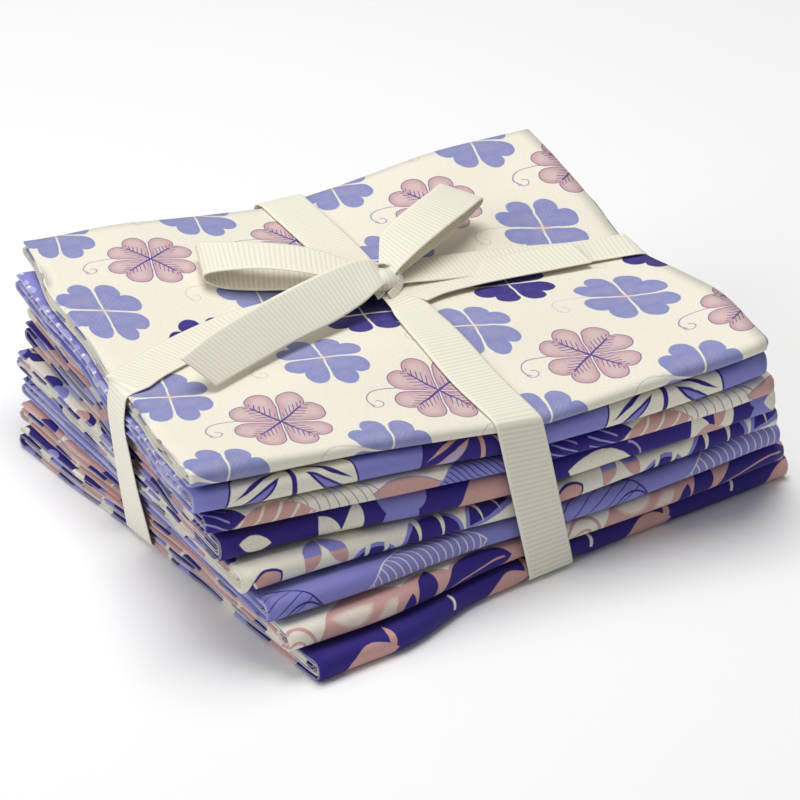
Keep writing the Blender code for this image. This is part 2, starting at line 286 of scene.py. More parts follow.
def petals(x, y, count, out, long, wide):
    """Distance to a ring of leaves round the middle, each with its middle so far out."""
    angle = Field.math("ARCTAN2", y, x)
    angle = repeat(angle, 2 * math.pi / count)
    far = hypot(x, y)
    return leaf(far * Field.math("COSINE", angle) - out, far * Field.math("SINE", angle), long, wide)


def arc(x, y, radius, thick, low_y=None):
    """Distance to a thin arc, kept above low_y if that is given."""
    found = abs(hypot(x, y) - radius) - thick / 2
    return higher_of(found, low_y - y) if low_y is not None else found


# Where the ends and the front of a quarter are folded, in mm along and across its print
END_FOLD_AT = -90.0
END_FOLDS_APART = 180.0
FRONT_FOLD_AT = -80.0
CLEAR_OF_FRONT = 12.0


def end_marks(cloth, marks):
    """Leaves of the print that wrap the folded ends: ink, distance apart, length and place."""
    clear = CLEAR_OF_FRONT - abs(cloth.v - FRONT_FOLD_AT)
    for ink, apart, long, place in marks:
        x, y = repeat(cloth.u - END_FOLD_AT, END_FOLDS_APART), repeat(cloth.v - place, apart)
        cloth.lay(inside(higher_of(leaf(y, x, long, long * 0.6), clear)), ink)


def clover_leaf(x, y):
    """Distance to the heart-shaped leaves of a clover, and places along and beside their ribs."""
    diagonal, half_gap = 0.7071, 0.36
    lobe_out, lobe_aside, lobe_radius = 10.0, 3.7, 3.95
    flank_cosine, flank_sine, flank_reach = 0.7430, 0.6693, 9.90
    along = (abs(x) + abs(y)) * diagonal
    beside = abs(abs(x) - abs(y)) * diagonal
    lobe = hypot(along - lobe_out, beside - lobe_aside) - lobe_radius
    flank = beside * flank_cosine - along * flank_sine
    stem = higher_of(flank, along * flank_cosine + beside * flank_sine - flank_reach)
    heart = lower_of(lobe, higher_of(stem, along - lobe_out))
    return higher_of(heart, half_gap - lower_of(abs(x), abs(y))), along, beside


def clover_print():
    """Four-leaf clovers in rose, blue and violet, each with a curled stalk, on cream."""
    cloth = Cloth("quarter_1_clover_print", "cream")
    for at, pitch, wide, tall, fill, turn, lean in (
            ((-5.0, -54.5), (49.0, 110.0), 1.0, 1.15, "rose", -17.0, 0.10),
            ((-29.5, 29.0), (49.0, 55.0), 0.91, 1.14, "sky", -22.0, 0.27),
            ((-5.0, 0.5), (49.0, 110.0), 0.91, 1.13, "violet", -11.0, 0.10)):
        x, y = cloth.spot(at, pitch, turn)
        edge, along, beside = clover_leaf(x / wide + y * lean, y / tall)
        x, y = cloth.spot(at, pitch, -4.0)
        curl = lower_of(higher_of(arc(x + 17.3, y + 0.1, 4.4, 0.42), higher_of(x + 17.3, -3.4 - y)),
                        higher_of(arc(x + 19.5, y + 2.6, 1.75, 0.36), lower_of(y + 2.6, -19.5 - x)))
        stalk = abs(y - 4.45 + (x + 16.6) * (x + 16.6) * 0.0155) - 0.2
        stalk = higher_of(stalk, higher_of(x + 1.0, -17.3 - x))
        cloud = noise(x, y, 4.0, 5.0, 3.0)
        if fill == "rose":
            cloth.lay(inside(lower_of(curl, stalk)), "grey_violet")
            cloth.lay(inside(edge), "rose")
            cloth.lay(inside(edge + 0.9 + cloud * 1.4, 1.6) * 0.28, "cream")
            rib = higher_of(beside - 0.40 + along * 0.015, along - 10.2)
            side = abs(repeat(along - beside * 0.9, 1.75)) - 0.21 + beside * 0.02
            side = higher_of(side, higher_of(beside - 3.3 + abs(along - 6.8) * 0.36, 2.6 - along))
            cloth.lay(inside(lower_of(rib, higher_of(side, edge + 0.7))), "vein")
            cloth.lay(inside(abs(edge) - 0.16) * 0.85, "vein")
        elif fill == "sky":
            cloth.lay(inside(lower_of(curl, stalk)) * 0.35, "grey_violet")
            cloth.lay(inside(edge), "sky")
            cloth.lay(inside(edge) * ((cloud - 0.30) * 1.6).clipped() * 0.8, "mauve")
            veins = abs(repeat(beside - along * 0.12, 1.15)) - 0.10
            cloth.lay(inside(higher_of(veins, higher_of(edge + 1.6, along - 9.5))) * 0.42, "rose")
            cloth.lay(inside(hypot(x, y) - 2.2, 2.0) * 0.35, "rose")
        else:
            cloth.lay(inside(lower_of(curl, stalk)) * 0.25, "grey_violet")
            cloth.lay(inside(edge), "violet")
            cloth.lay(inside(edge) * ((cloud - 0.35) * 0.35).clipped(), "lilac")
    return cloth


def fan_print():
    """Broad ribbed fans, cream and violet by turns, on lilac."""
    cloth = Cloth("quarter_2_fan_print", "lilac")
    for middle, fill, stroke, blade in ((-61.0, "cream", "violet", "lilac"),
                                        (-2.5, "violet", "pink", "pale_lilac")):
        x, y = cloth.spot((middle, -79.0), (117.0, 44.0))
        edge = higher_of(hypot(x, (y + 7.0) * 0.8) - 20.3, -8.5 - y)
        cloth.lay(inside(edge - 0.55), "violet")
        cloth.lay(inside(edge), fill)
        for out, up, tilt, long, wide in ((11.8, 0.8, -31.0, 19.0, 2.9), (10.0, 5.6, -24.0, 16.0, 1.1)):
            p, q = turned(abs(x) - out, y - up, tilt)
            cloth.lay(inside(higher_of(leaf(p, q, long, wide), edge + 0.4)), stroke)
            if wide > 2.0:
                cloth.lay(inside(higher_of(leaf(p, q, long, wide) + 0.6, edge + 0.6)), blade)
        cloth.lay(inside(higher_of(arc(x, y + 16.8, 15.4, 0.95), edge)), stroke)
        cloth.lay(inside(higher_of(abs(x) - 0.75, edge)), stroke)
    end_marks(cloth, (("pale_lilac", 6.3, 3.0, 0.0), ("pale_lilac", 15.0, 5.2, 4.0),
                      ("white", 9.1, 1.6, 2.5)))
    return cloth


def feather_print():
    """Overlapping feathers in violet, pink and lilac with fine lines, on cream."""
    cloth = Cloth("quarter_3_feather_print", "cream")
    pitch = (121.0, 40.0)
    x, y = cloth.spot((70.0, -77.0), pitch, -10.0)
    edge = leaf(x, y, 34.0, 16.0)
    barbs = abs(repeat(x * 1.0 + y * 0.5 + y * y * 0.05, 3.1)) - 0.17
    cloth.lay(inside(lower_of(higher_of(barbs, edge), abs(edge) - 0.15)), "grey_violet")
    x, y = cloth.spot((-27.5, -77.0), pitch, -8.0)
    edge = leaf(x, y, 27.0, 8.5)
    cloth.lay(inside(edge), "pink")
    cloth.lay(inside(abs(edge) - 0.15), "grey_violet")
    x, y = cloth.spot((-6.0, -77.0), pitch, 8.0)
    edge = leaf(x, y, 30.0, 17.0)
    cloth.lay(inside(edge), "lilac")
    barbs = abs(repeat(x + y * 0.8, 1.9)) - 0.2
    cloth.lay(inside(higher_of(barbs, edge + 0.5)), "violet")
    x, y = cloth.spot((27.0, -77.5), pitch, 3.0)
    edge = leaf(x, y, 36.0, 19.0)
    cloth.lay(inside(edge), "violet")
    barbs = abs(repeat(x * 0.55 + y, 2.7)) - 0.3
    barbs = higher_of(barbs, higher_of(edge + 1.6, 2.0 - abs(repeat(x, 13.0))))
    cloth.lay(inside(barbs) * 0.75, "pale_lilac")
    x, y = cloth.spot((50.5, -77.4), pitch, 4.0)
    edge = leaf(x, y, 25.0, 11.0)
    cloth.lay(inside(edge), "pink")
    cloth.lay(inside(higher_of(abs(repeat(x - abs(y) * 0.8, 5.4)) - 0.5, edge + 0.3)) * 0.9, "cream")
    end_marks(cloth, (("pink", 27.0, 18.0, 6.0), ("violet", 43.0, 11.0, 20.0)))
    return cloth


def flower_print():
    """Scattered petals and small flowers, cream, lilac and pink on violet."""
    cloth = Cloth("quarter_4_flower_print", "violet")
    pitch = (122.0, 46.0)
    x, y = cloth.spot((-53.3, -78.6), pitch, 6.0)
    p, q = turned(abs(x) - 3.2, y, 60.0)
    cloth.lay(inside(leaf(p, q, 12.5, 6.2)), "cream")
    x, y = cloth.spot((-34.5, -74.6), pitch, 14.0)
    cloth.lay(inside(petals(x, y, 5, 4.0, 8.6, 6.2)), "lilac")
    x, y = cloth.spot((-3.5, -79.0), pitch, 9.0)
    cloth.lay(inside(leaf(x, y, 28.0, 19.0)), "pink")
    x, y = cloth.spot((30.5, -78.6), (152.0, 46.0), -4.0)
    cloth.lay(inside(leaf(x, y, 22.0, 8.6, 0.01)), "cream")
    x, y = cloth.spot((39.5, -80.0), pitch)
    cloth.lay(inside(higher_of(arc(x, y, 5.6, 0.5), 1.0 - x)), "pale_lilac")
    x, y = cloth.spot((70.0, -77.4), (210.0, 46.0), 75.0)
    cloth.lay(inside(petals(x, y, 3, 3.6, 7.5, 4.0)), "pink")
    x, y = cloth.spot((-79.5, -76.0), (170.0, 46.0), -8.0)
    cloth.lay(inside(leaf(x, y, 10.0, 3.8)), "cream")
    end_marks(cloth, (("pink", 37.0, 13.0, 9.0), ("lilac", 53.0, 9.0, 24.0)))
    return cloth


def garden_print():
    """Violet leaves edged with lilac, and pink buds, on cream."""
    cloth = Cloth("quarter_5_garden_print", "cream")
    pitch = (99.0, 50.0)
    x, y = cloth.spot((-83.5, -80.0), pitch, 34.0)
    edge = leaf(x, y, 13.0, 8.6)
    cloth.lay(inside(edge), "pink")
    cloth.lay(inside(lower_of(abs(edge) - 0.3, higher_of(edge, x + 1.6))), "violet")
    cloth.lay(inside(higher_of(abs(x + 1.4) - 0.35, edge)), "cream")
    x, y = cloth.spot((-64.0, -74.2), pitch)
    p, q = turned(abs(x) - 3.4, y, -60.0)
    edge = leaf(p, q, 12.0, 5.0)
    cloth.lay(inside(edge), "lilac")
    cloth.lay(inside(higher_of(edge, y + 1.2)), "pink")
    for middle, low, turn, size in ((-48.5, -83.0, -6.0, 8.6), (-29.5, -80.5, 6.0, 10.6),
                                    (-10.0, -76.5, 18.0, 8.6)):
        x, y = cloth.spot((middle, low), pitch, turn)
        edge = higher_of(hypot(x, y * 1.25) - size, -1.0 - y)
        cloth.lay(inside(edge), "lilac")
        cloth.lay(inside(edge + 1.3), "violet")
        wedge = abs(abs(x) - size * 0.36) - (y + 0.5) * 0.13
        cloth.lay(inside(higher_of(wedge, edge)), "cream")
    x, y = cloth.spot((34.5, -81.6), pitch, 12.0)
    cloth.lay(inside(leaf(x, y, 12.0, 4.2)), "violet")
    end_marks(cloth, (("violet", 23.0, 10.0, 5.0), ("lilac", 31.0, 8.0, 14.0), ("pink", 67.0, 7.0, 30.0)))
    return cloth


def line_print():
    """Shells of fine pale lines and curls of thin violet lines, on lilac."""
    cloth = Cloth("quarter_6_line_print", "lilac")
    pitch = (113.0, 52.0)
    x, y = cloth.spot((-38.0, -79.5), pitch, 6.0)
    edge = leaf(x, y, 44.0, 19.0)
    cloth.lay(inside(edge) * 0.25, "grey_violet")
    ribs = abs(repeat(x + y * y * 0.09 - y * 0.15, 2.5)) - 0.18
    cloth.lay(inside(lower_of(higher_of(ribs, edge), abs(edge) - 0.18)) * 0.8, "white")
    x, y = cloth.spot((24.0, -80.5), pitch, -8.0)
    edge = leaf(x, y, 38.0, 20.0)
    ribs = abs(repeat(x - y * 0.6 - y * y * 0.10, 5.2)) - 0.24
    cloth.lay(inside(higher_of(ribs, edge)), "violet")
    cloth.lay(inside(higher_of(abs(edge) - 0.24, -x)), "violet")
    x, y = cloth.spot((-78.5, -84.0), pitch)
    cloth.lay(inside(arc(x, y, 7.0, 0.5, 0.0)), "violet")
    stroke = abs(turned(x + 8.0, y, 48.0)[1]) - 0.25
    cloth.lay(inside(higher_of(stroke, lower_of(0.0 - y, y - 9.0) * -1.0)), "violet")
    return cloth


def lance_print():
    """Long violet leaves among broad pink ones, on cream."""
    cloth = Cloth("quarter_7_leaf_print", "cream")
    pitch = (102.0, 48.0)
    x, y = cloth.spot((-63.5, -79.0), pitch, 3.0)
    cloth.lay(inside(leaf(x, y, 33.0, 20.0)), "pink")
    cloth.lay(inside(leaf(x + 5.0, y - 2.2, 13.0, 4.4, 0.03), 1.4) * 0.75, "cream")
    cloth.lay(inside(leaf(x - 7.0, y - 0.4, 11.0, 3.8, -0.03), 1.4) * 0.65, "cream")
    x, y = cloth.spot((-9.5, -79.5), pitch, -6.0)
    cloth.lay(inside(leaf(x, y, 30.0, 18.0)), "pink")
    x, y = cloth.spot((-43.5, -79.0), pitch, 0.0)
    cloth.lay(inside(leaf(x, y, 24.0, 15.0)), "pink")
    x, y = cloth.spot((-50.5, -81.0), pitch, 70.0)
    cloth.lay(inside(leaf(x, y, 9.0, 4.6)), "violet")
    x, y = cloth.spot((-43.5, -78.0), pitch, 62.0)
    cloth.lay(inside(leaf(x, y, 14.0, 6.6)), "violet")
    x, y = cloth.spot((-25.5, -78.6), pitch, 8.0)
    edge = leaf(x, y, 28.0, 10.5, -0.006)
    cloth.lay(inside(edge - 1.0), "pink")
    cloth.lay(inside(edge), "violet")
    cloth.lay(inside(higher_of(abs(y + x * x * 0.006) - 0.22, edge + 1.5)), "pink")
    x, y = cloth.spot((14.5, -82.0), pitch)
    cloth.lay(inside(lower_of(arc(x, y, 6.4, 1.0, -2.0), arc(x, y, 3.2, 0.8, -2.0))), "pink")
    end_marks(cloth, (("pink", 31.0, 30.0, 3.0), ("violet", 38.0, 10.0, 21.0)))
    return cloth


def tulip_print():
    """Pink buds with short cream strokes between them, on violet."""
    cloth = Cloth("quarter_8_tulip_print", "violet")
    pitch = (53.5, 38.0)
    x, y = cloth.spot((-73.5, -81.4), pitch, 15.0)
    cloth.lay(inside(leaf(x, y, 20.0, 7.6, -0.014)), "pink")
    x, y = cloth.spot((-65.2, -78.6), pitch, 80.0)
    cloth.lay(inside(leaf(x, y, 11.0, 2.2, 0.03)), "pink")
    x, y = cloth.spot((-44.8, -77.4), pitch)
    cloth.lay(inside(higher_of(arc(x, y, 4.6, 1.0), abs(y) - 2.3 + (4.6 - x) * 0.4)), "cream")
    end_marks(cloth, (("cream", 33.0, 7.0, 10.0), ("lilac", 29.0, 6.0, 0.0), ("pink", 61.0, 11.0, 24.0)))
    return cloth


# The quarters. Each is one piece of quilting cotton, cut 457 by 533 mm. It is folded in three along
# its length and then in three across it, which makes nine plies, and lies with its round fold in front.
MM = 0.001
FOLD_LENGTH = 0.180
FOLD_DEPTH = 0.154
PITCH = 0.0078
PLIES_A_LAYER = 3
QUARTER_GAP = 0.00034
CLOTH_THICK = 0.00042
PRESSED_SHARE = 0.86
PRESS_SPREAD = (0.060, 0.056)
PRESS_AT = (0.001, 0.0)
GROOVE_AT = (-0.001, 0.005)
GROOVE_HALF = (0.0085, 0.013)
GROOVE_HEIGHT = 0.0015
TOP_ROWS = 40
BOTTOM_ROWS = 36
MIDDLE_ROWS = 34
PANEL_ROWS = 40
# How far short of its fold the free top layer ends at the back, and the inner layer in front
TOP_SHORT = 0.0019
INNER_SHORT = 0.0006

# Name, turn in degrees, shift along and across, extra length and depth, wave: as the solids have them
QUARTERS = [
    ("quarter_8_tulip", 7.3, 0.0027, -0.0004, -0.0005, 0.0045, 0.4),
    ("quarter_7_leaf", 4.7, 0.0017, -0.0006, -0.0004, 0.0025, 1.7),
    ("quarter_6_lines", 2.6, 0.0014, -0.0004, 0.0, 0.0005, 2.9),
    ("quarter_5_garden", 0.8, 0.0, 0.0010, 0.0010, 0.0, 4.3),
    ("quarter_4_flower", -2.1, 0.0004, 0.0007, 0.0005, -0.0025, 5.1),
    ("quarter_3_feather", -3.9, -0.0008, -0.0015, 0.0003, -0.0040, 0.9),
    ("quarter_2_fan", -4.5, -0.0029, -0.0001, 0.0010, -0.0025, 2.2),
    ("quarter_1_clover", -5.1, -0.0030, 0.0022, -0.0015, 0.0010, 3.6),
]
COUNT = len(QUARTERS)
TOP = COUNT - 1
# How far each front fold strays outward at its loose left half, from the bottom quarter up
FLARES = (0.0078, 0.0050, 0.0030, 0.0012, 0.0, 0.0, 0.0, 0.0)
# How far past the solids each quarter reaches at its left end, its right end and its back
LONGER_LEFT = 0.0012
LONGER_RIGHT = (0.0016, 0.0016, 0.0014, 0.0012, 0.0010, 0.0010, 0.0010, 0.0024)
DEEPER_BACK = (0.0, 0.0, 0.0, 0.0, 0.0, 0.0, 0.0020, 0.0078)
# How far the ribbon draws in the left end of each quarter
DRAWN_IN = (0.0, 0.0, 0.0, 0.0, 0.0003, 0.0007, 0.0011, 0.0014)
# The top quarter's corners: out at the front right, in at the back left, and its back edge in
FRONT_RIGHT_OUT = 0.0034
BACK_LEFT_IN = 0.0036
BACK_EDGE_IN = 0.0026
# How much tighter a quarter closes than its room, at its left end and at its right end
TIGHTER_LEFT = 0.06
TIGHTER_RIGHT = 0.03


def bell(distance, spread):
    return np.exp(-(distance / spread) ** 2)


def smooth_step(value):
    value = np.clip(value, 0.0, 1.0)
    return value * value * (3.0 - 2.0 * value)


def ripple(x, y, seed):
    """Slow uneven swell between about -1 and 1, the same each time for one seed."""
    draw = np.random.default_rng(seed)
    total = 0.0
    for wave in (0.11, 0.067, 0.041):
        angle = draw.uniform(0, 2 * math.pi)
        phase = draw.uniform(0, 2 * math.pi)
        total = total + np.sin((x * math.cos(angle) + y * math.sin(angle)) * 2 * math.pi / wave + phase)
    return total / 3.0


# How much fuller than its neighbours the stack is at each level, in mm, away from the ribbon
FULLER = (0.0, 0.0, 0.0, 0.1, 0.3, 2.3, 1.6, 2.4, 0.3)
# Swellings between the bands: height, place along and across, and how far each spreads
SWELLINGS = ((0.0043, -0.005, -0.027, 0.052, 0.019), (-0.0018, -0.056, -0.052, 0.024, 0.018))
RAISED_RIGHT = 0.0023
SUNK_LEFT = 0.0026
UNEVEN = 0.00034
RIBBON_BITE = 0.0009


def level_height(level, x, y):
    """Height of the boundary above that many quarters, before the move to the box's middle."""
    along = 1.0 - bell(x - PRESS_AT[0], PRESS_SPREAD[0])
    across = 1.0 - bell(y - PRESS_AT[1], PRESS_SPREAD[1])
    pitch = PITCH * (PRESSED_SHARE + (1.0 - PRESSED_SHARE) * along * across)
    share = level / COUNT
    off_band = smooth_step((np.abs(y - 0.002) - 0.007) / 0.020)
    puffed = FULLER[level] * MM * off_band * (0.45 + 0.55 * smooth_step((x + 0.085) / 0.045))
    for height, at_x, at_y, reach_x, reach_y in SWELLINGS:
        puffed = puffed + height * share ** 2 * bell(x - at_x, reach_x) * bell(y - at_y, reach_y)
    right_end = smooth_step((x - 0.066) / 0.024)
    back_right = smooth_step((x - 0.020) / 0.045) * smooth_step((y - 0.050) / 0.030)
    back_left = smooth_step((-x - 0.045) / 0.035) * smooth_step((y - 0.045) / 0.035)
    loft = RAISED_RIGHT * np.maximum(right_end, back_right) * (0.5 + 0.5 * off_band) - SUNK_LEFT * back_left
    swell = UNEVEN * share ** 0.5 * ripple(x, y, 50 + level)
    bite = RIBBON_BITE * share ** 3 * np.maximum(bell(x - 0.003, 0.010), bell(y - 0.008, 0.012))
    return level * pitch + puffed + loft * share + (swell if level else 0.0) - bite


def to_stack(order, a, b):
    """Place in the stack of a point on one quarter, which is turned and shifted."""
    turn = math.radians(QUARTERS[order][1])
    x = QUARTERS[order][2] + a * math.cos(turn) - b * math.sin(turn)
    y = QUARTERS[order][3] + a * math.sin(turn) + b * math.cos(turn)
    return x, y


def groove_at(a, b):
    """Height of the two crossed grooves under the bottom quarter, where the ribbon passes."""
    ramp = GROOVE_HALF[1] - GROOVE_HALF[0]
    cross = smooth_step((GROOVE_HALF[1] - np.abs(a - GROOVE_AT[0])) / ramp)
    along = smooth_step((GROOVE_HALF[1] - np.abs(b - GROOVE_AT[1])) / ramp)
    return GROOVE_HEIGHT * np.maximum(cross, along)


def walk(points):
    """Length walked to each point of a line."""
    steps = np.hypot(*np.diff(np.array(points)[:, :2], axis=0).T)
    return np.concatenate([[0.0], np.cumsum(steps)])


def fold_across(order):
    """The second fold, front to back, as rows of (b, height, normal b, normal height)."""
    reach = (FOLD_DEPTH + QUARTERS[order][5]) / 2
    ply = (PITCH - QUARTER_GAP) / (3 * PLIES_A_LAYER)
    low = QUARTER_GAP / 2 + 1.5 * ply
    middle, high = low + 3 * ply, low + 6 * ply
    front_radius, back_radius = (high - low) / 2, (middle - low) / 2
    far = reach + DEEPER_BACK[order]
    front, back_turn = -reach + front_radius + 1.5 * ply, far - back_radius - 1.5 * ply
    rows = [(b, high, 0.0, 1.0) for b in np.linspace(far - TOP_SHORT, front, TOP_ROWS)]
    squareness = 0.62 if order else 0.5
    for angle in np.linspace(90, 270, 15)[1:-1]:
        nb, nh = math.cos(math.radians(angle)), math.sin(math.radians(angle))
        flat_b = -abs(nb) ** squareness
        flat_h = math.copysign(abs(nh) ** 0.9, nh)
        rows.append((front + front_radius * flat_b, (low + high) / 2 + front_radius * flat_h, nb, nh))
    rows += [(b, low, 0.0, -1.0) for b in np.linspace(front, back_turn, BOTTOM_ROWS)]
    for angle in np.linspace(-90, 90, 9)[1:-1]:
        nb, nh = math.cos(math.radians(angle)), math.sin(math.radians(angle))
        rows.append((back_turn + back_radius * nb, (low + middle) / 2 + back_radius * nh, nb, nh))
    rows += [(b, middle, 0.0, 1.0) for b in np.linspace(back_turn, front + INNER_SHORT, MIDDLE_ROWS)]
    return rows, ply


def fold_along(order, ply):
    """The first fold, along the length, as rows of (a, rise, normal a, normal rise)."""
    reach = (FOLD_LENGTH + QUARTERS[order][4]) / 2 - ply / 2
    rows = []
    for panel, rise in enumerate((-ply, 0.0, ply)):
        way = 1 if panel % 2 == 0 else -1
        rows += [(way * a, rise, 0.0, float(way)) for a in np.linspace(-reach, reach, PANEL_ROWS)]
        if panel < 2:
            for angle in np.linspace(-90, 90, 7)[1:-1]:
                na, nr = math.cos(math.radians(angle)), math.sin(math.radians(angle))
                rows.append((way * (reach + ply / 2 * na), rise + ply / 2 + ply / 2 * nr,
                             way * na * way, -nr * way))
    return rows


def fold_quarter(order):
    """One quarter as a closed thin cloth, with its weave's own coordinates in metres."""
    name, wave = QUARTERS[order][0], QUARTERS[order][6]
    across, ply = fold_across(order)
    along = fold_along(order, ply)
    reach_a, reach_b = FOLD_LENGTH / 2, FOLD_DEPTH / 2
    b, height, nb, nh = (np.array(column)[:, None] for column in zip(*across))
    a, rise, na, nr = (np.array(column)[None, :] for column in zip(*along))
    walk_b, walk_a = walk(across), walk(along)
    top_middle = np.argmin(np.abs(np.array([row[0] for row in across[:TOP_ROWS]])))
    last_middle = len(along) - PANEL_ROWS // 2
    cloth_v = -(walk_b - walk_b[top_middle]) + across[top_middle][0]
    cloth_u = walk_a - walk_a[last_middle] + along[last_middle][0]
    near_end = (np.abs(a) / reach_a) ** 10
    ragged = ripple(b + 0.4 * height, rise * 60, 10 + order) * 0.0011
    ragged = ragged + ripple(b, rise * 200, 30 + order) * 0.0004
    loose_from, loose_over = (0.028, 0.036) if order == 0 else (0.010, 0.060)
    sheets = []
    for face in (1, -1):
        offset = face * CLOTH_THICK / 2
        own_a = a + offset * na - np.sign(a) * near_end * np.abs(ragged)
        own_rise = rise + offset * nr
        wander = 0.0007 * np.sin(own_a * 2 * math.pi / 0.11 + wave) * smooth_step(-b / reach_b)
        loose = smooth_step((-loose_from - own_a) / loose_over) * smooth_step(-b / reach_b) ** 2
        own_b = b + own_rise * nb + wander - FLARES[order] * loose
        own_h = height + own_rise * nh
        own_a = own_a + LONGER_RIGHT[order] * smooth_step((own_a - 0.050) / 0.035)
        if order == TOP:
            front_right = smooth_step((own_a - 0.045) / 0.045) * bell(own_b + 0.040, 0.024)
            own_a = own_a + FRONT_RIGHT_OUT * front_right
            near_back = smooth_step((own_b - 0.040) / 0.040)
            own_a = own_a + BACK_LEFT_IN * smooth_step((-own_a - 0.045) / 0.040) * near_back
            own_b = own_b - BACK_EDGE_IN * smooth_step((0.030 - own_a) / 0.050) * near_back
        tied = 1.0 - smooth_step((np.abs(own_b + 0.003) - 0.016) / 0.035)
        left_end = smooth_step((-own_a - 0.050) / 0.035)
        own_a = own_a + (DRAWN_IN[order] * tied - LONGER_LEFT * (1.0 - tied)) * left_end
        x, y = to_stack(order, own_a, own_b)
        share = own_h / PITCH
        tighter = TIGHTER_LEFT * smooth_step((-own_a - 0.03) / 0.06)
        tighter = tighter + TIGHTER_RIGHT * smooth_step((own_a - 0.04) / 0.05)
        share = 0.5 + (share - 0.5) * (1.0 - tighter) if order else share
        floor_height = groove_at(own_a, own_b) if order == 0 else 0.0
        lower = level_height(order, x, y) + floor_height
        upper = level_height(order + 1, x, y)
        if order == 0:
            share = (own_h - QUARTER_GAP / 2) / (PITCH - QUARTER_GAP / 2)
        z = lower + share * (upper - lower)
        sheets.append(np.stack([x + MODEL_SHIFT.x, y + MODEL_SHIFT.y, z], axis=-1))
    rows, columns = sheets[0].shape[:2]
    grid = np.arange(rows * columns).reshape(rows, columns)
    corners = (grid[:-1, :-1], grid[1:, :-1], grid[1:, 1:], grid[:-1, 1:])
    printed = np.stack(corners, axis=-1).reshape(-1, 4)
    reverse = printed[:, ::-1] + rows * columns
    rim = np.concatenate([grid[:, 0], grid[-1, 1:], grid[-2::-1, -1], grid[0, -2::-1]])
    edge = np.stack([rim[:-1], rim[1:], rim[1:] + rows * columns, rim[:-1] + rows * columns], axis=-1)
    faces = np.concatenate([printed, reverse, edge[:, ::-1]])
    mesh = bpy.data.meshes.new(name + "_cloth")
    mesh.from_pydata(np.concatenate([sheets[0].reshape(-1, 3), sheets[1].reshape(-1, 3)]).tolist(), [],
                     faces.tolist())
    kinds = np.repeat([0, 1, 2], [len(printed), len(reverse), len(edge)]).astype(np.int32)
    mesh.polygons.foreach_set("material_index", kinds)
    weave = np.stack(np.meshgrid(cloth_v, cloth_u, indexing="ij"), axis=-1).reshape(-1, 2)[:, ::-1]
    weave = np.concatenate([weave, weave])
    loops = np.zeros(len(mesh.loops), np.int32)
    mesh.loops.foreach_get("vertex_index", loops)
    layer = mesh.uv_layers.new(name="cloth")
    layer.data.foreach_set("uv", weave[loops].astype(np.float32).ravel())
    mesh.polygons.foreach_set("use_smooth", np.ones(len(mesh.polygons), bool))
    mesh.update()
    mesh.validate()
    piece = bpy.data.objects.new(name + "_cloth", mesh)
    bpy.context.scene.collection.objects.link(piece)
    work = bmesh.new()
    work.from_mesh(mesh)
    if work.calc_volume(signed=True) < 0:
        bmesh.ops.reverse_faces(work, faces=work.faces[:])
        work.to_mesh(mesh)
    work.free()
    return piece


# Print and ground of each quarter, from the bottom up. The cloth's back and its cut edges are paler.
DESIGNS = [(tulip_print, "violet"), (lance_print, "pink"), (line_print, "lilac"), (garden_print, "cream"),
           (flower_print, "violet"), (feather_print, "pink"), (fan_print, "lilac"), (clover_print, "cream")]
PALER = (("reverse", 0.35), ("cut_edge", 0.8))
for order, (name, *_) in enumerate(QUARTERS):
    cloth = fold_quarter(order)
    draw_print, tone = DESIGNS[order]
    printed = draw_print().finish()
    cloth.data.materials.append(printed)
    for face, paleness in PALER:
        faded = printed.copy()
        faded.name = name + "_" + face
        faded.node_tree.nodes["fade"].inputs[0].default_value = paleness
        cloth.data.materials.append(faded)
    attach(cloth, "root")
    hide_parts(name)

# The ribbon. It is one length of cream grosgrain, 15 mm wide, with ribs across it and a plain edge
# each side. It passes under and over the stack both ways and is knotted into a bow on top.
RIBBON_WIDE = 0.015
RIBBON_HALF = 0.0002
RIB_PITCH = 0.0016
RIB_HEIGHT = 0.00011
FACES_A_RIB = 5
CLEARANCE = 0.0006
FOOT_HEIGHT = 0.0012
SIDE_ROWS = 26
SOFT_STEP = 0.0006
SOFT_ROUNDS = 5
ribbon_points, ribbon_faces, ribbon_weave = [], [], []
ribbon_length = 0.0


def curve_through(rows, steps=24):
    """Smooth curve through rows of numbers."""
    rows = np.array(rows, float)
    padded = np.concatenate([2 * rows[:1] - rows[1:2], rows, 2 * rows[-1:] - rows[-2:-1]])
    found = []
    for p0, p1, p2, p3 in zip(padded, padded[1:], padded[2:], padded[3:]):
        for t in np.arange(steps) / steps:
            squared = (2 * p0 - 5 * p1 + 4 * p2 - p3) * t * t
            cubed = (3 * p1 - p0 - 3 * p2 + p3) * t ** 3
            found.append(0.5 * (2 * p1 + (p2 - p0) * t + squared + cubed))
    return np.array(found + [rows[-1]])


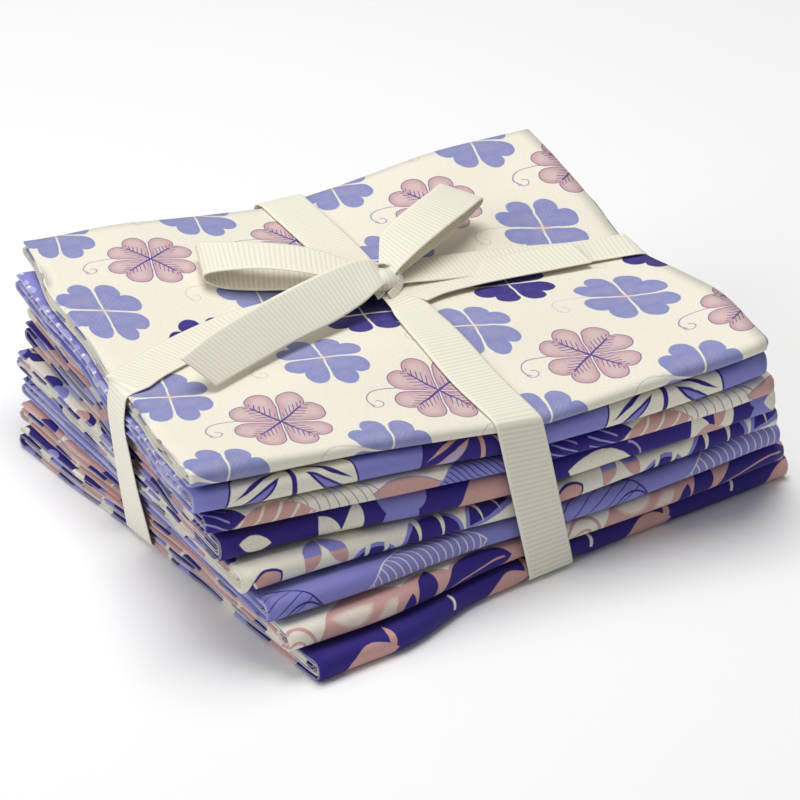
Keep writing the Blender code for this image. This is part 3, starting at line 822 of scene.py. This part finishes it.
def lay_ribbon(edges, closed=False):
    """Add a ribbed strip and tell its length. Each row of edges has a place on both edges of it."""
    edges = np.array(edges)
    if closed:
        edges = np.concatenate([edges, edges[:1]])
    middle = (edges[:, :3] + edges[:, 3:]) / 2
    travelled = np.concatenate([[0], np.cumsum(np.linalg.norm(np.diff(middle, axis=0), axis=1))])
    length = travelled[-1]
    count = int(round(length / RIB_PITCH)) * FACES_A_RIB
    places = np.linspace(0, length, count + 1)
    if closed:
        places = places[:-1]
    sampled = np.stack([np.interp(places, travelled, edges[:, column]) for column in range(6)], axis=-1)
    across = np.array([-1.0, -0.9, -0.84, -0.5, 0.0, 0.5, 0.84, 0.9, 1.0])
    near, far = sampled[:, None, :3], sampled[:, None, 3:]
    surface = near + (far - near) * (across[None, :, None] + 1) / 2
    if closed:
        ahead, behind = np.roll(surface, -1, axis=0), np.roll(surface, 1, axis=0)
    else:
        ahead = np.concatenate([surface[1:], 2 * surface[-1:] - surface[-2:-1]])
        behind = np.concatenate([2 * surface[:1] - surface[1:2], surface[:-1]])
    normal = np.cross(ahead - behind, np.broadcast_to(far - near, surface.shape))
    normal /= np.linalg.norm(normal, axis=-1, keepdims=True)
    ridge = np.abs(np.sin(np.pi * places / RIB_PITCH))[:, None] ** 0.7
    ribbed = (np.abs(across) < 0.87)[None, :]
    half = RIBBON_HALF * np.where(np.abs(across) > 0.99, 0.7, 1.1)[None, :]
    half = half + RIB_HEIGHT * (ridge - 0.4) * ribbed
    rows, columns = len(places), len(across)
    start = len(ribbon_points)
    for face in (1, -1):
        ribbon_points.extend((surface + face * half[..., None] * normal).reshape(-1, 3).tolist())
        weave = np.stack(np.broadcast_arrays(places[:, None], across[None, :] * RIBBON_WIDE / 2), axis=-1)
        ribbon_weave.extend(weave.reshape(-1, 2).tolist())
    grid = start + np.arange(rows * columns).reshape(rows, columns)
    lower = grid + rows * columns
    if closed:
        grid, lower = np.concatenate([grid, grid[:1]]), np.concatenate([lower, lower[:1]])
    for sheet, flip in ((grid, False), (lower, True)):
        quads = np.stack([sheet[:-1, :-1], sheet[1:, :-1], sheet[1:, 1:], sheet[:-1, 1:]], axis=-1)
        quads = quads.reshape(-1, 4)
        ribbon_faces.extend((quads[:, ::-1] if flip else quads).tolist())
    for column, flip in ((0, True), (-1, False)):
        upper_side, lower_side = grid[:, column], lower[:, column]
        quads = np.stack([upper_side[:-1], upper_side[1:], lower_side[1:], lower_side[:-1]], axis=-1)
        ribbon_faces.extend((quads[:, ::-1] if flip else quads).tolist())
    if not closed:
        for row, flip in ((0, False), (-1, True)):
            quads = np.stack([grid[row, :-1], grid[row, 1:], lower[row, 1:], lower[row, :-1]], axis=-1)
            ribbon_faces.extend((quads[:, ::-1] if flip else quads).tolist())
    return length


def edge_of(order, side, at):
    """Place of a quarter's edge, at a given x for the front and back or y for the ends."""
    turn = math.radians(QUARTERS[order][1])
    half_a, half_b = (FOLD_LENGTH + QUARTERS[order][4]) / 2, (FOLD_DEPTH + QUARTERS[order][5]) / 2
    if side in ("front", "back"):
        b = half_b + DEEPER_BACK[order] if side == "back" else -half_b
        a = (at - QUARTERS[order][2] + b * math.sin(turn)) / math.cos(turn)
        return to_stack(order, a, b)[1]
    a = half_a + LONGER_RIGHT[order] if side == "right" else DRAWN_IN[order] - half_a
    b = (at - QUARTERS[order][3] - a * math.sin(turn)) / math.cos(turn)
    return to_stack(order, a, b)[0]


def down_side(side, top_at, low_at, top_height):
    """Rows of (reach, height) for a taut line from the top of the stack down one side of it."""
    outward = 1 if side in ("right", "back") else -1
    corners = []
    for order in range(COUNT):
        at = top_at + (low_at - top_at) * (1 - (order + 0.5) / COUNT)
        reach = outward * edge_of(order, side, at)
        corners += [((order + share) * top_height / COUNT, reach) for share in (0.2, 0.8)]
    rows = []
    for height in np.linspace(top_height - 0.001, FOOT_HEIGHT, SIDE_ROWS):
        best = -1.0
        for low_level, low_reach in corners:
            for high_level, high_reach in corners:
                if low_level <= height <= high_level and high_level > low_level:
                    part = (height - low_level) / (high_level - low_level)
                    best = max(best, low_reach + (high_reach - low_reach) * part)
        if best < 0:
            best = corners[-1][1] if height > corners[-1][0] else corners[0][1]
        rows.append((outward * (best + CLEARANCE), height))
    return rows


def round_the_stack(middle_rows, along_x, lows):
    """Edges of a band that runs over the top along the rows (x, y, wide, lift), and back underneath."""
    path = curve_through(middle_rows, 10)
    travel = np.gradient(path[:, :2], axis=0)
    travel /= np.linalg.norm(travel, axis=1, keepdims=True)
    square = np.stack([-travel[:, 1], travel[:, 0]], axis=-1) * path[:, 2:3] / 2
    over = []
    for row, offset in zip(path, square):
        pair = []
        for sign in (-1, 1):
            x, y = row[0] + sign * offset[0], row[1] + sign * offset[1]
            pair += [x, y, float(level_height(COUNT, x, y)) + row[3]]
        over.append(pair)
    names = ("left", "right") if along_x else ("front", "back")
    free, fixed = (0, 1) if along_x else (1, 0)
    downs = []
    for name, end, low in zip(names, (over[0], over[-1]), lows):
        lines = []
        for edge in (0, 3):
            low_at = low[0] + (-1 if (edge == 0) == along_x else 1) * low[1]
            top_at, top_height = end[edge + fixed], end[edge + 2]
            line = []
            for reach, height in down_side(name, top_at, low_at, top_height):
                place = [0.0, 0.0, height]
                place[free] = reach
                place[fixed] = top_at + (low_at - top_at) * (1 - height / top_height)
                line.append(place)
            lines.append(line)
        downs.append([a + b for a, b in zip(*lines)])
    return over + downs[1] + downs[0][::-1]


def soften(path):
    """Even out the steps of a closed path and round its corners a little."""
    path = np.array(path + path[:1])
    middle = (path[:, :3] + path[:, 3:]) / 2
    travelled = np.concatenate([[0], np.cumsum(np.linalg.norm(np.diff(middle, axis=0), axis=1))])
    even = np.arange(0, travelled[-1], SOFT_STEP)
    path = np.stack([np.interp(even, travelled, path[:, column]) for column in range(6)], axis=-1)
    for _ in range(SOFT_ROUNDS):
        path = (np.roll(path, 1, axis=0) + 2 * path + np.roll(path, -1, axis=0)) / 4
    return path


# Middle of the band, its width and its height over the cloth, in mm, along the stack and then across
LONG_OVER = [(-89.2, -2.3, 16, 0.5), (-82, 1.6, 15, 0.5), (-71, 6.3, 15, 0.5), (-60, 9.8, 15, 0.5),
             (-45, 13.0, 15, 0.6), (-30, 13.5, 15, 0.9), (-15, 12.2, 13, 2.0), (-4, 11.0, 9, 3.6),
             (4, 11.2, 7.5, 4.6), (10, 12.6, 10.5, 4.2), (18, 13.4, 13.5, 3.4), (34, 12.2, 15, 2.2),
             (58, 8.4, 15, 1.1), (76, 3.7, 15, 0.6), (87.5, 0.6, 16, 0.5)]
CROSS_OVER = [(-0.8, -72.6, 14.6, 0.5), (-0.3, -50, 15, 0.5), (0.3, -28, 14.5, 0.6), (2.8, -13, 13, 0.9),
              (4.4, -4, 12, 1.5), (3.6, 2, 9, 2.4), (2.4, 7.5, 6, 3.2), (1.8, 14, 7, 3.2),
              (2.2, 22, 11, 2.2), (3.4, 34, 14.5, 1.0), (4.6, 52, 15, 0.5), (5.8, 84.0, 15, 0.5)]
# Where each band meets the table, at one end and then the other, and half its width there
LONG_LOW = ((-0.0036, 0.0069), (0.0140, 0.0081))
CROSS_LOW = ((0.0099, 0.0081), (-0.0080, 0.0081))
for rows, along_x, lows in ((LONG_OVER, True, LONG_LOW), (CROSS_OVER, False, CROSS_LOW)):
    path = round_the_stack(np.array(rows) * MM, along_x, lows)
    ribbon_length += lay_ribbon(soften(path), closed=True)

# Bow: one edge of the ribbon and then the other, in mm, from the knot out and back for a loop
LEFT_LOOP = [
    (-2.0, 8.5, 59.5, 0.5, 14.5, 60.5),
    (-8.3, 9.7, 61.8, -3.6, 18.3, 63.0),
    (-16.0, 13.5, 63.5, -10.5, 26.6, 65.0),
    (-23.5, 19.0, 64.5, -17.2, 32.8, 65.8),
    (-31.8, 25.8, 64.4, -26.0, 40.2, 65.6),
    (-39.5, 31.8, 63.0, -34.0, 48.0, 64.2),
    (-43.9, 36.5, 60.9, -38.0, 54.4, 62.3),
    (-44.6, 38.0, 59.0, -38.6, 56.0, 60.0),
    (-43.4, 37.0, 57.2, -37.6, 54.6, 58.0),
    (-39.5, 33.6, 55.9, -33.5, 49.6, 56.6),
    (-32.0, 29.0, 55.5, -25.5, 43.6, 56.0),
    (-22.8, 23.6, 55.8, -16.3, 37.6, 56.0),
    (-11.8, 16.6, 56.5, -7.0, 28.0, 57.0),
    (-3.0, 9.8, 58.0, 0.8, 16.8, 58.8),
]
RIGHT_LOOP = [
    (3.4, 6.9, 59.5, 3.4, 14.0, 61.0),
    (7.2, 8.2, 62.3, 6.8, 20.0, 63.6),
    (12.5, 10.4, 64.0, 10.4, 25.4, 65.8),
    (20.6, 14.4, 65.4, 16.4, 29.2, 67.2),
    (31.6, 20.0, 66.6, 25.4, 33.8, 68.4),
    (42.8, 26.6, 66.6, 35.2, 39.6, 68.4),
    (50.6, 32.4, 65.8, 42.4, 45.4, 67.4),
    (52.4, 34.3, 64.6, 44.2, 47.0, 66.2),
    (51.6, 33.8, 63.4, 43.8, 46.8, 64.9),
    (46.0, 30.4, 62.3, 38.8, 43.6, 63.6),
    (37.0, 25.2, 61.4, 30.4, 38.6, 62.6),
    (25.0, 19.0, 60.2, 20.6, 33.2, 61.2),
    (14.0, 14.0, 58.8, 11.2, 26.4, 59.8),
    (4.6, 8.6, 57.6, 4.6, 16.2, 58.6),
]
FRONT_TAIL = [
    (-3.0, 2.6, 57.0, -2.4, 10.2, 59.8),
    (0.4, 5.0, 57.0, 1.2, 13.4, 60.4),
    (1.5, 5.4, 59.4, 2.2, 13.8, 62.9),
    (-0.6, 3.8, 60.8, 0.0, 13.4, 65.2),
    (-4.9, 1.4, 60.4, -4.9, 12.9, 66.4),
    (-11.0, -1.4, 59.2, -12.6, 10.9, 67.0),
    (-22.6, -5.6, 58.2, -26.6, 6.8, 67.0),
    (-38.6, -10.2, 57.6, -44.6, 0.6, 66.6),
    (-55.0, -16.2, 57.2, -63.0, -7.0, 65.9),
    (-69.7, -22.1, 57.0, -77.8, -15.1, 65.0),
]
UNDER_TAIL = [
    (11.1, -2.5, 55.4, 4.0, 9.4, 56.0),
    (20.0, -0.3, 55.2, 15.0, 13.0, 55.6),
    (34.0, -0.4, 55.0, 33.0, 14.0, 55.4),
    (50.4, -2.1, 55.0, 51.0, 12.4, 55.4),
    (69.0, -4.9, 55.4, 70.2, 9.4, 55.8),
]
KNOT_WRAP = [
    (-4.6, 9.0, 60.4, -3.8, 12.6, 61.0),
    (-0.6, 11.8, 63.2, 0.4, 16.2, 61.8),
    (4.0, 12.4, 63.2, 5.6, 16.8, 61.0),
    (6.6, 10.2, 62.0, 9.4, 13.6, 60.0),
    (6.4, 7.4, 60.4, 9.2, 9.0, 57.8),
    (3.8, 5.0, 59.0, 6.0, 5.2, 56.4),
    (0.6, 3.4, 58.0, 1.8, 2.0, 55.6),
]
for rows in (LEFT_LOOP, RIGHT_LOOP, FRONT_TAIL, UNDER_TAIL, KNOT_WRAP):
    ribbon_length += lay_ribbon(curve_through(np.array(rows) * MM, 30))

# Middle of the knot: the turns under the outer one, drawn tight, with two creases
KNOT_HALF = (5.6, 5.0, 3.4)
KNOT_AT = Vector((1.2, 9.2, 59.6))
bpy.ops.object.select_all(action="DESELECT")
bpy.ops.mesh.primitive_uv_sphere_add(segments=32, ring_count=20, radius=1.0)
knot_core = bpy.context.object
for vert in knot_core.data.vertices:
    start = vert.co.copy()
    crease = 1 - 0.13 * math.exp(-((start.x + 0.25) / 0.16) ** 2)
    crease = crease - 0.1 * math.exp(-((start.y - 0.3) / 0.15) ** 2)
    bulk = Vector([part * half for part, half in zip(start, KNOT_HALF)])
    vert.co = bulk * crease * MM + KNOT_AT * MM
    ribbon_points.append(list(vert.co))
    ribbon_weave.append([start.x * 0.006, start.y * 0.006])
core_start = len(ribbon_points) - len(knot_core.data.vertices)
for polygon in knot_core.data.polygons:
    ribbon_faces.append([core_start + corner for corner in polygon.vertices])
bpy.data.objects.remove(knot_core, do_unlink=True)

ribbon_mesh = bpy.data.meshes.new("ribbon_bow")
ribbon_mesh.from_pydata((np.array(ribbon_points) + np.array(MODEL_SHIFT)).tolist(), [], ribbon_faces)
corners = np.zeros(len(ribbon_mesh.loops), np.int32)
ribbon_mesh.loops.foreach_get("vertex_index", corners)
ribbon_uv = ribbon_mesh.uv_layers.new(name="ribbon")
ribbon_uv.data.foreach_set("uv", np.array(ribbon_weave)[corners].astype(np.float32).ravel())
ribbon_mesh.polygons.foreach_set("use_smooth", np.ones(len(ribbon_mesh.polygons), bool))
work = bmesh.new()
work.from_mesh(ribbon_mesh)
bmesh.ops.recalc_face_normals(work, faces=work.faces[:])
work.to_mesh(ribbon_mesh)
work.free()
ribbon = bpy.data.objects.new("ribbon_bow", ribbon_mesh)
bpy.context.scene.collection.objects.link(ribbon)
ribbon_paint = bpy.data.materials.new("cream_grosgrain")
ribbon_paint.use_nodes = True
ribbon_shader = ribbon_paint.node_tree.nodes["Principled BSDF"]
ribbon_tree = Field.tree = ribbon_paint.node_tree
ribbon_place = ribbon_tree.nodes.new("ShaderNodeUVMap")
ribbon_place.uv_map = "ribbon"
ribbon_parts = ribbon_tree.nodes.new("ShaderNodeSeparateXYZ")
ribbon_tree.links.new(ribbon_place.outputs[0], ribbon_parts.inputs[0])
SELVEDGE_FROM = 0.0066
# The grooves between the ribs are painted a darker cream as painted shade. The ribs and the plain edges
# keep the lighter cream.
GROOVE_SHADE_CREAM = (0.74, 0.70, 0.585, 1)
RIB_CREAM = (0.88, 0.845, 0.71, 1)
ridge = abs(Field.math("SINE", Field(ribbon_parts.outputs[0]) * (math.pi / RIB_PITCH)))
selvedge = Field.math("GREATER_THAN", abs(Field(ribbon_parts.outputs[1])), SELVEDGE_FROM)
# Painted shade in the grooves between the ribs, kept off the plain edges
painted_groove_shade = ribbon_tree.nodes.new("ShaderNodeMix")
painted_groove_shade.data_type = "RGBA"
painted_groove_shade.inputs[6].default_value = GROOVE_SHADE_CREAM
painted_groove_shade.inputs[7].default_value = RIB_CREAM
ribbon_tree.links.new(Field.math("MAXIMUM", ridge, selvedge).socket, painted_groove_shade.inputs[0])
ribbon_tree.links.new(painted_groove_shade.outputs[2], ribbon_shader.inputs["Base Color"])
ribbon_shader.inputs["Roughness"].default_value = 0.6
ribbon_shader.inputs["Sheen Weight"].default_value = 0.2
ribbon_mesh.materials.append(ribbon_paint)
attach(ribbon, "root")
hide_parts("ribbon")
